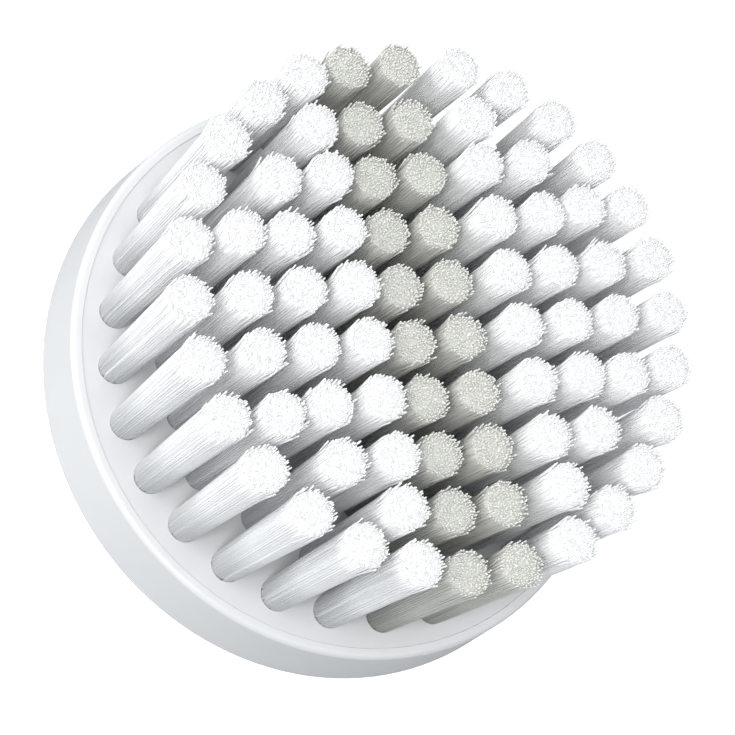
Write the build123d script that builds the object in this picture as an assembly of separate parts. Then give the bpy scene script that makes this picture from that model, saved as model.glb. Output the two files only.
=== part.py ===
from build123d import *
import os
from math import cos, sin, radians

# A round rotary brush head for cleansing the face.
# Millimetres, +Z towards the tips of the tufts, +Y along the stripe of grey
# tufts. The origin is the centre of the foot, where the casing's lower edge
# stands, on the axis that the head turns about.

# Driving dimensions of the base.
rim_radius = 21.0
foot_radius = 21.4
base_height = 5.5
rim_band = 0.75
face_step = 0.06

# Driving dimensions of the tufts and their holes.
pitch = 3.9
ring_radius = 17.95
ring_count = 28
hole_radius = 1.2
hole_depth = 2.5
tip_radius = 1.6
white_tip_height = 20.3
ring_tip_height = 20.1
grey_tip_height = 18.9
tip_rounding = 0.3
tuft_clearance = 0.05

# Rows of tufts in each column, counted from the middle column outwards.
rows_in_column = {0.5: 8, 1.5: 8, 2.5: 6, 3.5: 4}
# The end tufts of the outer columns stand off the square grid, in pitches.
corner_far = 3.39
corner_near = 1.58

# The flat staple that holds each folded tuft down in its hole.
anchor_thickness = 0.3
anchor_width = 2.8
anchor_height = 1.4
anchor_lift = 0.4
anchor_clearance = 0.01

# The tuft plate, the casing's ledge and the back cover, as a stack.
plate_thickness = 3.1
plate_clearance = 0.005
ledge_thickness = 1.0
ledge_radius = 19.0
cover_thickness = 1.0
cover_recess_radius = 19.8
cover_clearance = 0.05

# The drive hub, whose flange lies between the tuft plate and the back cover.
bore_radius = 4.0
boss_radius = 6.5
flange_radius = 9.5
boss_lift = 0.05
key_count = 4
key_width = 1.4
key_depth = 0.8
groove_height = 0.56
groove_radius = 4.62
clip_wire_radius = 0.25
clip_centre_radius = 4.31
clip_gap_degrees = 70.0
clip_start_degrees = 55.0

# Posts under the tuft plate, which carry the drive through the flange.
post_count = 6
post_radius = 0.9
post_circle_radius = 8.0
post_clearance = 0.05

# Drain slots through the back cover.
slot_count = 10
slot_circle_radius = 13.4
slot_length = 5.2
slot_width = 1.5

# Edge roundings.
rim_rounding = 0.4
rim_inner_rounding = 0.05
foot_rounding = 0.3
hub_rounding = 0.25
cover_rounding = 0.2

# Heights that follow from the driving dimensions.
face_height = base_height - face_step
plate_bottom = face_height - plate_thickness
ledge_bottom = plate_bottom - ledge_thickness
cover_bottom = ledge_bottom - cover_thickness
hole_bottom = face_height - hole_depth
anchor_bottom = hole_bottom + anchor_lift
opening_radius = rim_radius - rim_band
plate_radius = opening_radius - plate_clearance


def turned(points):
    """A solid of revolution about Z from its half section, as (radius, z)."""
    section = Polyline(*[(r, 0, z) for r, z in points], close=True)
    return revolve(make_face(section), Axis.Z)


def circle_edges(shape, radius, height):
    """The round edges of a turned shape at one radius and height."""
    found = []
    for edge in shape.edges().filter_by(GeomType.CIRCLE):
        same_radius = abs(edge.radius - radius) < 0.01
        if same_radius and abs(edge.center().Z - height) < 0.01:
            found.append(edge)
    return found


def around(count, radius, start=0.0):
    """Places spaced evenly on a circle, each turned to face outwards."""
    step = 360 / count
    turns = [start + step * i for i in range(count)]
    return [Rot(0, 0, turn) * Pos(radius, 0, 0) for turn in turns]


def column_places(column):
    """The tuft centres of one column, at that many pitches from the axis."""
    rows = rows_in_column[abs(column)]
    places = []
    for i in range(rows):
        row = i - (rows - 1) / 2
        x, y = abs(column), abs(row)
        if (x, y) == (3.5, 1.5):
            x, y = corner_far, corner_near
        elif (x, y) == (1.5, 3.5):
            x, y = corner_near, corner_far
        x = x if column > 0 else -x
        y = y if row > 0 else -y
        places.append((x * pitch, y * pitch))
    return places


def ring_places(first, count):
    """Centres of a run of ring tufts, counted clockwise from the +Y axis."""
    step = 360 / ring_count
    places = []
    for i in range(first, first + count):
        turn = radians(90 - (i + 0.5) * step)
        places.append((ring_radius * cos(turn), ring_radius * sin(turn)))
    return places


def make_casing_ring():
    """The outer ring: side wall, rounded rim and the ledge for the plate."""
    ring = turned([
        (foot_radius, 0),
        (rim_radius, base_height),
        (opening_radius, base_height),
        (opening_radius, plate_bottom),
        (ledge_radius, plate_bottom),
        (ledge_radius, ledge_bottom),
        (cover_recess_radius, ledge_bottom),
        (cover_recess_radius, 0),
    ])
    ring = fillet(circle_edges(ring, rim_radius, base_height), rim_rounding)
    inner = circle_edges(ring, opening_radius, base_height)
    ring = fillet(inner, rim_inner_rounding)
    return fillet(circle_edges(ring, foot_radius, 0), foot_rounding)


def make_anchor(grow=0.0):
    """One flat staple across a hole, or its slot when grown."""
    box = Box(
        anchor_thickness + 2 * grow,
        anchor_width + 2 * grow,
        anchor_height + 2 * grow,
    )
    return Pos(0, 0, anchor_bottom + anchor_height / 2) * box


def make_tuft_plate(places):
    """The face: a disc with a blind hole and a staple slot for each tuft."""
    plate = Pos(0, 0, plate_bottom) * Cylinder(
        plate_radius,
        plate_thickness,
        align=(Align.CENTER, Align.CENTER, Align.MIN),
    )
    hole = Pos(0, 0, hole_bottom) * Cylinder(
        hole_radius,
        hole_depth,
        align=(Align.CENTER, Align.CENTER, Align.MIN),
    )
    cutter = hole + make_anchor(anchor_clearance)
    plate -= [Pos(x, y, 0) * cutter for x, y in places]
    post = Pos(0, 0, ledge_bottom) * Cylinder(
        post_radius,
        ledge_thickness,
        align=(Align.CENTER, Align.CENTER, Align.MIN),
    )
    return plate + [p * post for p in around(post_count, post_circle_radius)]


def make_tuft(tip_height):
    """One folded bundle of filaments, flaring from its hole to its tip."""
    foot = hole_bottom + tuft_clearance
    in_hole = hole_radius - tuft_clearance
    bundle = turned([
        (0, foot),
        (in_hole, foot),
        (in_hole, face_height),
        (tip_radius, tip_height - tip_rounding),
        (tip_radius - tip_rounding, tip_height),
        (0, tip_height),
    ])
    return bundle - make_anchor(anchor_clearance)


def make_drive_hub():
    """The socket that the handle's spindle pushes into, with its flange."""
    hub = turned([
        (bore_radius, boss_lift),
        (boss_radius, boss_lift),
        (boss_radius, ledge_bottom),
        (flange_radius, ledge_bottom),
        (flange_radius, plate_bottom),
        (bore_radius, plate_bottom),
    ])
    lower = circle_edges(hub, boss_radius, boss_lift)
    hub = fillet(lower, hub_rounding)
    mouth = circle_edges(hub, bore_radius, boss_lift)
    hub = chamfer(mouth, hub_rounding)
    keyway = Pos(bore_radius, 0, 0) * Box(
        2 * key_depth,
        key_width,
        2 * plate_bottom + 1,
    )
    keys = [
        Rot(0, 0, 360 / key_count * i) * keyway
        for i in range(key_count)
    ]
    groove = Pos(0, 0, ledge_bottom) * Cylinder(groove_radius, groove_height)
    hole = Cylinder(post_radius + post_clearance, 4 * base_height)
    holes = [p * hole for p in around(post_count, post_circle_radius)]
    return hub - (keys + [groove] + holes)


def make_retaining_clip():
    """A spring wire ring, open at one side, spread to the bore's wall."""
    path = Pos(0, 0, ledge_bottom) * CenterArc(
        (0, 0),
        clip_centre_radius,
        clip_start_degrees,
        360 - clip_gap_degrees,
    )
    start = Plane(path @ 0, z_dir=path % 0)
    return sweep(start * Circle(clip_wire_radius), path=path)


def make_back_cover():
    """The disc that closes the underside round the hub, with drain slots."""
    outer = cover_recess_radius - cover_clearance
    inner = boss_radius + cover_clearance
    cover = turned([
        (inner, cover_bottom),
        (outer, cover_bottom),
        (outer, ledge_bottom),
        (inner, ledge_bottom),
    ])
    cover = fillet(circle_edges(cover, outer, cover_bottom), cover_rounding)
    slot = extrude(
        Rot(0, 0, 90) * SlotOverall(slot_length, slot_width),
        base_height,
    )
    return cover - [s * slot for s in around(slot_count, slot_circle_radius)]


columns = [-3.5, -2.5, -1.5, -0.5, 0.5, 1.5, 2.5, 3.5]
grey_columns = [-0.5, 0.5]

# Each group of tufts: its name, its centres and the height of its tips.
groups = []
for number, column in enumerate(columns, start=1):
    tips = grey_tip_height if column in grey_columns else white_tip_height
    groups.append((f"column_{number}", column_places(column), tips))
# The ring has two grey tufts at each end of the stripe and white between.
for number, first in enumerate([1, 7, 15, 21], start=1):
    name = f"ring_white_{number}"
    groups.append((name, ring_places(first, 6), ring_tip_height))
for number, first in enumerate([-1, 13], start=1):
    name = f"ring_grey_{number}"
    groups.append((name, ring_places(first, 2), grey_tip_height))

nodes = {}
all_places = []
for name, places, tips in groups:
    all_places += places
    tuft = make_tuft(tips)
    anchor = make_anchor()
    nodes[f"tufts_{name}"] = Compound(
        children=[Pos(x, y, 0) * tuft for x, y in places]
    )
    nodes[f"anchors_{name}"] = Compound(
        children=[Pos(x, y, 0) * anchor for x, y in places]
    )

nodes["casing_ring"] = make_casing_ring()
nodes["tuft_plate"] = make_tuft_plate(all_places)
nodes["drive_hub"] = make_drive_hub()
nodes["retaining_clip"] = make_retaining_clip()
nodes["back_cover"] = make_back_cover()

os.makedirs("parts", exist_ok=True)
for name, shape in nodes.items():
    export_step(shape, f"parts/{name}.step")
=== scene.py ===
import bpy
import math
import numpy as np
from mathutils import Matrix, Vector


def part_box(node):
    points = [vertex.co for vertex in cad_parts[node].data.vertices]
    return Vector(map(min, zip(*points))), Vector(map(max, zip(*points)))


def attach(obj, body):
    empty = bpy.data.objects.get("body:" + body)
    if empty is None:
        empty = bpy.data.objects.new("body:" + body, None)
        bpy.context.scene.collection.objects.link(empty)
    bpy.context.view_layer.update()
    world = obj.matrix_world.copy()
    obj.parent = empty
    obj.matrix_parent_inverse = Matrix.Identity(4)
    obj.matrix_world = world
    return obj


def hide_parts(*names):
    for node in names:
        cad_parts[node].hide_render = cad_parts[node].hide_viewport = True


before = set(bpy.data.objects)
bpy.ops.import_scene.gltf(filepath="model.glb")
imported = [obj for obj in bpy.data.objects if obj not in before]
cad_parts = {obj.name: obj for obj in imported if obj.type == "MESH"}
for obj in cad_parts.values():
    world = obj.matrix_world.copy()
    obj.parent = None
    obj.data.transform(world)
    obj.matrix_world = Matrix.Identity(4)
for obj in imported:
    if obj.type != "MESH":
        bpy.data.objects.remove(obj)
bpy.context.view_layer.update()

MM = 0.001

# The face that the tufts stand on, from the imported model's own boxes.
FACE_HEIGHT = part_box("tuft_plate")[1].z

# Tuft layout, as in the CAD model.
PITCH = 3.9 * MM
RING_RADIUS = 17.95 * MM
RING_COUNT = 28
ROWS_IN_COLUMN = {0.5: 8, 1.5: 8, 2.5: 6, 3.5: 4}
COLUMNS = (-3.5, -2.5, -1.5, -0.5, 0.5, 1.5, 2.5, 3.5)
GREY_COLUMNS = (-0.5, 0.5)
CORNER_FAR = 3.39
CORNER_NEAR = 1.58

# One tuft: filaments fill a round hole and fan out towards their tips.
HOLE_FILL_RADIUS = 1.135 * MM
TIP_FILL_RADIUS = 1.48 * MM
FILAMENT_RADIUS = 0.062 * MM
FILAMENT_SIDES = 6
FILAMENT_PACKING = 2.1
RING_NESTING = 0.93
FILAMENT_FOOT = 0.6 * MM
RANDOM_SEED = 20
# Levels up a filament, as a share of its height, and how far it wanders there.
LEVELS = ((0, 0.0), (0.5, 0.010 * MM), (0.84, 0.015 * MM), (1.0, 0.04 * MM))
SPLAY = 0.11 * MM
TIP_DROP = 0.05 * MM
LONGEST_DROP = 6 * TIP_DROP
TIP_GAP = 0.01 * MM
PLACE_SCATTER = 0.02
RADIUS_RANGE = (0.88, 1.12)
# A filament's cut end narrows to this share over this many radii.
END_SHARE = 0.55
END_LENGTH = 0.7

# The packed heart of a tuft, below its tips and inside its outer filaments.
CORE_DEPTH = 0.30 * MM
CORE_SHARE = 0.965
CORE_SIDES = 40
CORE_RINGS = 12
CORE_LID_SHARE = 0.5

# How far below its tip a filament keeps the tone painted for the light on its
# cut end, as a share of the whole height above the face.
PAINTED_TIP_SHARE = 0.012

# The camera, at the picture's viewing angle.
LOOK_AT = Vector((1.02, -0.09, 6.04)) * MM
CAMERA_DISTANCE = 167.8 * MM
CAMERA_HEADING = 64.6
CAMERA_ELEVATION = 58.84
CAMERA_ROLL = 54.8
CAMERA_LENS = 114.4


# The studio: a pale surround, dimmer on one side, a soft lamp behind the
# camera and another to the left. Both lamps face the middle of the tufts.
SURROUND_STRENGTH = 0.76
FLOOR_LIFT = 0.75
DARK_SIDE = (-0.38, -0.92, -0.05)
FRONT_PLACE = (-0.22, -0.10, 0.32)
FRONT_SIZE = 0.18
FRONT_POWER = 1.2
SIDE_PLACE = (-0.36, 0.20, 0.16)
SIDE_SIZE = 0.24
SIDE_POWER = 0.7
LAMP_AIM = Vector((0, 0, 8)) * MM
FLOOR_SIZE = 4.0


def material(name):
    """A new node material: its tree, and its Principled shader."""
    made = bpy.data.materials.new(name)
    made.use_nodes = True
    return made, made.node_tree, made.node_tree.nodes["Principled BSDF"]


def node(tree, kind, **inputs):
    """A node of that kind, with some of its inputs set by name."""
    made = tree.nodes.new("ShaderNode" + kind)
    for key, value in inputs.items():
        made.inputs[key.replace("_", " ")].default_value = value
    return made


def moulded_plastic(name, colour, roughness, grain, coat):
    """Injection-moulded plastic, with a faint flow tint and fine grain."""
    made, tree, shader = material(name)
    link = tree.links.new
    places = node(tree, "TexCoord")
    tint = node(tree, "TexNoise", Scale=160.0, Detail=3.0)
    link(places.outputs["Object"], tint.inputs["Vector"])
    ramp = node(tree, "ValToRGB")
    dark = [0.965 * c for c in colour]
    ramp.color_ramp.elements[0].color = (*dark, 1)
    ramp.color_ramp.elements[1].color = (*colour, 1)
    ramp.color_ramp.elements[0].position = 0.1
    ramp.color_ramp.elements[1].position = 0.65
    link(tint.outputs["Fac"], ramp.inputs["Fac"])
    link(ramp.outputs["Color"], shader.inputs["Base Color"])
    fine = node(tree, "TexNoise", Scale=5200.0, Detail=2.0)
    link(places.outputs["Object"], fine.inputs["Vector"])
    rough = node(tree, "MapRange")
    rough.inputs["To Min"].default_value = roughness - 0.03
    rough.inputs["To Max"].default_value = roughness + 0.05
    link(fine.outputs["Fac"], rough.inputs["Value"])
    link(rough.outputs["Result"], shader.inputs["Roughness"])
    bump = node(tree, "Bump", Strength=grain, Distance=0.01 * MM)
    link(fine.outputs["Fac"], bump.inputs["Height"])
    link(bump.outputs["Normal"], shader.inputs["Normal"])
    shader.inputs["IOR"].default_value = 1.52
    shader.inputs["Coat Weight"].default_value = coat
    shader.inputs["Coat Roughness"].default_value = 0.08
    return made


def metal(name, colour, roughness):
    """Drawn or rolled metal, with lengthwise streaks."""
    made, tree, shader = material(name)
    link = tree.links.new
    places = node(tree, "TexCoord")
    streaks = node(tree, "TexNoise", Scale=3000.0, Detail=3.0)
    link(places.outputs["Object"], streaks.inputs["Vector"])
    rough = node(tree, "MapRange")
    rough.inputs["To Min"].default_value = roughness - 0.08
    rough.inputs["To Max"].default_value = roughness + 0.1
    link(streaks.outputs["Fac"], rough.inputs["Value"])
    link(rough.outputs["Result"], shader.inputs["Roughness"])
    shader.inputs["Base Color"].default_value = (*colour, 1)
    shader.inputs["Metallic"].default_value = 1.0
    return made


def filament_material(name, shaded_foot, side, tip, through_share, darkest):
    """Translucent nylon filaments, with painted light and shade from foot to tip.
    """
    made, tree, shader = material(name)
    link = tree.links.new
    below = node(tree, "Attribute")
    below.attribute_name = "below_tip"
    # Painted light and shade up each filament: the foot darker and cooler as
    # painted shade between the tufts, the side and tip tones set for how the lamps
    # fall on them.
    painted_light_along = node(tree, "ValToRGB")
    steps = painted_light_along.color_ramp
    steps.interpolation = "EASE"
    steps.elements[0].position = 0.0
    steps.elements[0].color = (*tip, 1)
    steps.elements[1].position = 1.0
    steps.elements[1].color = (*shaded_foot, 1)
    steps.elements.new(PAINTED_TIP_SHARE).color = (*side, 1)
    link(below.outputs["Fac"], painted_light_along.inputs["Fac"])
    strand = node(tree, "Attribute")
    strand.attribute_name = "strand"
    vary = node(tree, "MapRange")
    vary.inputs["To Min"].default_value = darkest
    vary.inputs["To Max"].default_value = 1.0
    link(strand.outputs["Fac"], vary.inputs["Value"])
    tint = node(tree, "VectorMath")
    tint.operation = "SCALE"
    link(painted_light_along.outputs["Color"], tint.inputs[0])
    link(vary.outputs["Result"], tint.inputs["Scale"])
    link(tint.outputs["Vector"], shader.inputs["Base Color"])
    places = node(tree, "TexCoord")
    fine = node(tree, "TexNoise", Scale=9000.0, Detail=2.0)
    link(places.outputs["Object"], fine.inputs["Vector"])
    rough = node(tree, "MapRange")
    rough.inputs["To Min"].default_value = 0.38
    rough.inputs["To Max"].default_value = 0.55
    link(fine.outputs["Fac"], rough.inputs["Value"])
    link(rough.outputs["Result"], shader.inputs["Roughness"])
    bump = node(tree, "Bump", Strength=0.1, Distance=0.01 * MM)
    link(fine.outputs["Fac"], bump.inputs["Height"])
    link(bump.outputs["Normal"], shader.inputs["Normal"])
    shader.inputs["IOR"].default_value = 1.4
    through = node(tree, "BsdfTranslucent")
    link(tint.outputs["Vector"], through.inputs["Color"])
    both = node(tree, "MixShader", Fac=through_share)
    link(shader.outputs["BSDF"], both.inputs[1])
    link(through.outputs["BSDF"], both.inputs[2])
    link(both.outputs["Shader"], tree.nodes["Material Output"].inputs["Surface"])
    return made


def column_places(column):
    """Tuft centres of one column, as in the CAD model."""
    rows = ROWS_IN_COLUMN[abs(column)]
    places = []
    for i in range(rows):
        row = i - (rows - 1) / 2
        x, y = abs(column), abs(row)
        if (x, y) == (3.5, 1.5):
            x, y = CORNER_FAR, CORNER_NEAR
        elif (x, y) == (1.5, 3.5):
            x, y = CORNER_NEAR, CORNER_FAR
        x = math.copysign(x, column)
        y = math.copysign(y, row)
        places.append((x * PITCH, y * PITCH))
    return places


def ring_places(first, count):
    """Centres of a run of ring tufts, clockwise from the +Y axis."""
    places = []
    for i in range(first, first + count):
        turn = math.tau / 4 - (i + 0.5) * math.tau / RING_COUNT
        places.append((RING_RADIUS * math.cos(turn), RING_RADIUS * math.sin(turn)))
    return places


def packed_disc(rng):
    """Filament centres in a unit disc, packed in rings from the edge in."""
    gap = FILAMENT_PACKING * FILAMENT_RADIUS / HOLE_FILL_RADIUS
    points = []
    for reach in np.arange(1.0, gap / 2, -gap * RING_NESTING):
        count = max(1, round(math.tau * reach / gap))
        turns = rng.uniform(0, math.tau) + np.arange(count) * math.tau / count
        points.append(reach * np.column_stack([np.cos(turns), np.sin(turns)]))
    return np.concatenate(points)


def tuft_lines(rng, centre, top):
    """Points up each filament, as one array of points for each level."""
    unit = packed_disc(rng)
    unit = unit + rng.normal(0, PLACE_SCATTER, unit.shape)
    reach = np.linalg.norm(unit, axis=1)
    unit /= np.maximum(reach, 1.0)[:, None]
    reach = np.minimum(reach, 1.0)
    drop = rng.gamma(2.0, TIP_DROP, len(unit)).clip(0, LONGEST_DROP)
    low = FACE_HEIGHT - FILAMENT_FOOT
    lines = []
    for share, wander in LEVELS:
        radius = HOLE_FILL_RADIUS + (TIP_FILL_RADIUS - HOLE_FILL_RADIUS) * share
        across = unit * radius + rng.normal(0, wander, unit.shape)
        lines.append(across)
    splay = rng.normal(0.3, 1, len(unit)).clip(-0.5, 2.4) * reach ** 3
    lines[-1] = lines[-1] + unit * splay[:, None] * SPLAY
    heights = top - TIP_GAP - drop
    points = []
    for (share, wander), across in zip(LEVELS, lines):
        height = low + (heights - low) * share
        points.append(np.column_stack([across + np.array(centre), height]))
    return points


def tube_rings(lines, radius):
    """Rings of vertices up each filament, with a rounded end."""
    turns = np.arange(FILAMENT_SIDES) * math.tau / FILAMENT_SIDES
    wheel = np.column_stack([np.cos(turns), np.sin(turns), np.zeros_like(turns)])
    tip, last = lines[-1], lines[-1] - lines[-2]
    end = tip - last * (radius[:, None] * END_LENGTH / last[:, 2:])
    rings = []
    for centres in (*lines[:-1], end):
        rings.append(centres[:, None, :] + wheel[None] * radius[:, None, None])
    small = END_SHARE * radius
    rings.append(tip[:, None, :] + wheel[None] * small[:, None, None])
    return np.stack(rings, axis=1)


def core_rings(centre, top):
    """Rings of the tuft's packed heart: up its side, then in to its middle."""
    low = FACE_HEIGHT - FILAMENT_FOOT
    high = top - CORE_DEPTH
    turns = np.arange(CORE_SIDES) * math.tau / CORE_SIDES
    wheel = np.column_stack([np.cos(turns), np.sin(turns), np.zeros_like(turns)])
    rings = []
    for level in range(CORE_RINGS):
        rise = level / (CORE_RINGS - 2)
        if level < CORE_RINGS - 1:
            radius = HOLE_FILL_RADIUS + (TIP_FILL_RADIUS - HOLE_FILL_RADIUS) * rise
            radius *= CORE_SHARE
            height = low + (high - low) * rise
        else:
            radius = CORE_LID_SHARE * TIP_FILL_RADIUS
            height = high
        rings.append(wheel * radius + np.array([*centre, height]))
    return np.stack(rings)


def skin(rings, offset):
    """Faces over stacks of rings, closed at both ends."""
    count, levels, sides = rings.shape[:3]
    index = np.arange(count * levels * sides).reshape(count, levels, sides)
    index = index + offset
    beside = np.roll(index, -1, axis=2)
    walls = np.stack([
        index[:, :-1], beside[:, :-1], beside[:, 1:], index[:, 1:],
    ], axis=-1).reshape(-1, 4)
    faces = [tuple(face) for face in walls.tolist()]
    faces += [tuple(face) for face in index[:, -1].tolist()]
    faces += [tuple(face[::-1]) for face in index[:, 0].tolist()]
    return faces


def build_tufts(name, centres, top, finish):
    """One group of tufts as a mesh of separate filaments."""
    rng = np.random.default_rng(RANDOM_SEED + sum(map(ord, name)))
    height = top - FACE_HEIGHT
    rings, shades, depths, cores = [], [], [], []
    for centre in centres:
        lines = tuft_lines(rng, centre, top)
        tip = lines[-1]
        radius = FILAMENT_RADIUS * rng.uniform(*RADIUS_RANGE, len(tip))
        strands = tube_rings(lines, radius)
        rings.append(strands)
        depth = (tip[:, None, None, 2] - strands[..., 2]) / height
        depths.append(depth)
        shades.append(rng.uniform(0, 1, len(tip)))
        cores.append(core_rings(centre, top))
    rings = np.concatenate(rings)
    depths = np.concatenate(depths).reshape(-1)
    cores = np.stack(cores)
    per_strand = rings.shape[1] * rings.shape[2]
    shades = np.repeat(np.concatenate(shades), per_strand)
    core_points = cores.reshape(-1, 3)
    core_depths = (top - core_points[:, 2]) / height
    strand_points = rings.reshape(-1, 3)
    points = np.concatenate([strand_points, core_points])
    faces = skin(rings, 0) + skin(cores, len(strand_points))
    mesh = bpy.data.meshes.new(name)
    mesh.from_pydata(points.tolist(), [], faces)
    core_shades = np.full(len(core_points), 0.5)
    for attribute, values in (
        ("strand", np.concatenate([shades, core_shades])),
        ("below_tip", np.concatenate([depths, core_depths]).clip(0, 1)),
    ):
        layer = mesh.attributes.new(attribute, "FLOAT", "POINT")
        layer.data.foreach_set("value", values)
    smooth = np.ones(len(mesh.polygons), dtype=bool)
    mesh.polygons.foreach_set("use_smooth", smooth)
    mesh.materials.append(finish)
    piece = bpy.data.objects.new(name, mesh)
    bpy.context.collection.objects.link(piece)
    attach(piece, "root")
    return piece


def tuft_groups():
    """Each group's node name, tuft centres and whether it is grey."""
    groups = []
    for number, column in enumerate(COLUMNS, start=1):
        grey = column in GREY_COLUMNS
        groups.append((f"tufts_column_{number}", column_places(column), grey))
    for number, first in enumerate((1, 7, 15, 21), start=1):
        groups.append((f"tufts_ring_white_{number}", ring_places(first, 6), False))
    for number, first in enumerate((-1, 13), start=1):
        groups.append((f"tufts_ring_grey_{number}", ring_places(first, 2), True))
    return groups


def make_all_tufts():
    """Replaces each plain CAD tuft group by its filaments."""
    # Painted light on the white tufts: tips toned down where the lamps fall on
    # them, sides lifted against the shade between tufts, feet darker and cooler as
    # painted shade.
    white = filament_material(
        "white_filaments",
        (0.975, 0.985, 0.995),
        (0.99, 0.995, 0.998),
        (0.86, 0.862, 0.865),
        0.08,
        0.95,
    )
    # Painted light on the grey tufts: tips painted paler as a painted highlight
    # where light falls on them, sides and feet darker as painted shade.
    grey = filament_material(
        "grey_filaments",
        (0.66, 0.66, 0.62),
        (0.70, 0.70, 0.66),
        (0.90, 0.905, 0.865),
        0.08,
        0.84,
    )
    for name, centres, is_grey in tuft_groups():
        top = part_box(name)[1].z
        finish = grey if is_grey else white
        made = "filaments" + name.removeprefix("tufts")
        piece = build_tufts(made, centres, top, finish)
        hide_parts(name)


def finish_cad_nodes():
    """Procedural materials for the CAD pieces that stay."""
    finishes = {
        "casing_ring": moulded_plastic(
            "casing_gloss", (0.69, 0.698, 0.705), 0.22, 0.05, 0.4
        ),
        "tuft_plate": moulded_plastic(
            "plate_satin", (0.655, 0.663, 0.67), 0.34, 0.08, 0.15
        ),
        "back_cover": moulded_plastic(
            "cover_grain", (0.82, 0.83, 0.84), 0.48, 0.5, 0.0
        ),
        "drive_hub": moulded_plastic(
            "hub_acetal", (0.52, 0.53, 0.55), 0.4, 0.2, 0.0
        ),
        "retaining_clip": metal("spring_wire", (0.62, 0.62, 0.64), 0.28),
    }
    brass = metal("anchor_strip", (0.78, 0.66, 0.38), 0.35)
    for name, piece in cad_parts.items():
        finish = brass if name.startswith("anchors") else finishes.get(name)
        if finish is None:
            continue
        for place in piece.material_slots:
            place.material = finish


def make_floor():
    """A pale floor, lifted to white for the camera, which keeps the shadow."""
    bpy.ops.mesh.primitive_plane_add(size=FLOOR_SIZE, location=(0, 0, 0))
    floor = bpy.context.object
    floor.name = "floor"
    made, tree, shader = material("floor_paper")
    link = tree.links.new
    shader.inputs["Base Color"].default_value = (0.45, 0.46, 0.47, 1)
    shader.inputs["Roughness"].default_value = 0.9
    shader.inputs["Specular IOR Level"].default_value = 0.0
    path = node(tree, "LightPath")
    lift = node(tree, "Emission")
    scaled = node(tree, "Math")
    scaled.operation = "MULTIPLY"
    link(path.outputs["Is Camera Ray"], scaled.inputs[0])
    scaled.inputs[1].default_value = FLOOR_LIFT
    link(scaled.outputs[0], lift.inputs["Strength"])
    both = node(tree, "AddShader")
    link(shader.outputs["BSDF"], both.inputs[0])
    link(lift.outputs["Emission"], both.inputs[1])
    link(both.outputs["Shader"], tree.nodes["Material Output"].inputs["Surface"])
    floor.data.materials.append(made)


def add_area(name, place, size, power):
    """A soft square lamp that faces the object."""
    data = bpy.data.lights.new(name, "AREA")
    data.size = size
    data.energy = power
    lamp = bpy.data.objects.new(name, data)
    bpy.context.collection.objects.link(lamp)
    lamp.location = place
    aim = LAMP_AIM - Vector(place)
    lamp.rotation_euler = aim.to_track_quat("-Z", "Y").to_euler()


def light_scene():
    """The two soft lamps and the pale surround."""
    world = bpy.data.worlds.new("surround")
    world.use_nodes = True
    tree = world.node_tree
    link = tree.links.new
    back = tree.nodes["Background"]
    ways = node(tree, "TexCoord")
    facing = node(tree, "VectorMath")
    facing.operation = "DOT_PRODUCT"
    link(ways.outputs["Generated"], facing.inputs[0])
    facing.inputs[1].default_value = DARK_SIDE
    ramp = node(tree, "ValToRGB")
    ramp.color_ramp.interpolation = "EASE"
    ramp.color_ramp.elements[0].position = 0.1
    ramp.color_ramp.elements[0].color = (0.965, 0.985, 1.0, 1)
    ramp.color_ramp.elements[1].position = 0.85
    ramp.color_ramp.elements[1].color = (0.15, 0.175, 0.20, 1)
    link(facing.outputs["Value"], ramp.inputs["Fac"])
    link(ramp.outputs["Color"], back.inputs["Color"])
    back.inputs["Strength"].default_value = SURROUND_STRENGTH
    bpy.context.scene.world = world
    add_area("front", FRONT_PLACE, FRONT_SIZE, FRONT_POWER)
    add_area("side", SIDE_PLACE, SIDE_SIZE, SIDE_POWER)


def place_camera():
    """A long lens, looking down on the head and rolled with the picture."""
    heading = math.radians(CAMERA_HEADING)
    rise = math.radians(CAMERA_ELEVATION)
    forward = Vector((
        math.sin(heading) * math.cos(rise),
        math.cos(heading) * math.cos(rise),
        -math.sin(rise),
    ))
    data = bpy.data.cameras.new("camera")
    data.lens = CAMERA_LENS
    data.sensor_width = 36.0
    data.clip_start = 0.01
    data.clip_end = 10.0
    camera = bpy.data.objects.new("camera", data)
    bpy.context.collection.objects.link(camera)
    level = forward.to_track_quat("-Z", "Y").to_matrix()
    roll = Matrix.Rotation(math.radians(CAMERA_ROLL), 3, "Z")
    turned = (level @ roll).to_4x4()
    turned.translation = LOOK_AT - forward * CAMERA_DISTANCE
    camera.matrix_world = turned
    bpy.context.scene.camera = camera


place_camera()
bpy.context.scene.view_settings.view_transform = "Standard"
make_floor()
light_scene()
finish_cad_nodes()
make_all_tufts()
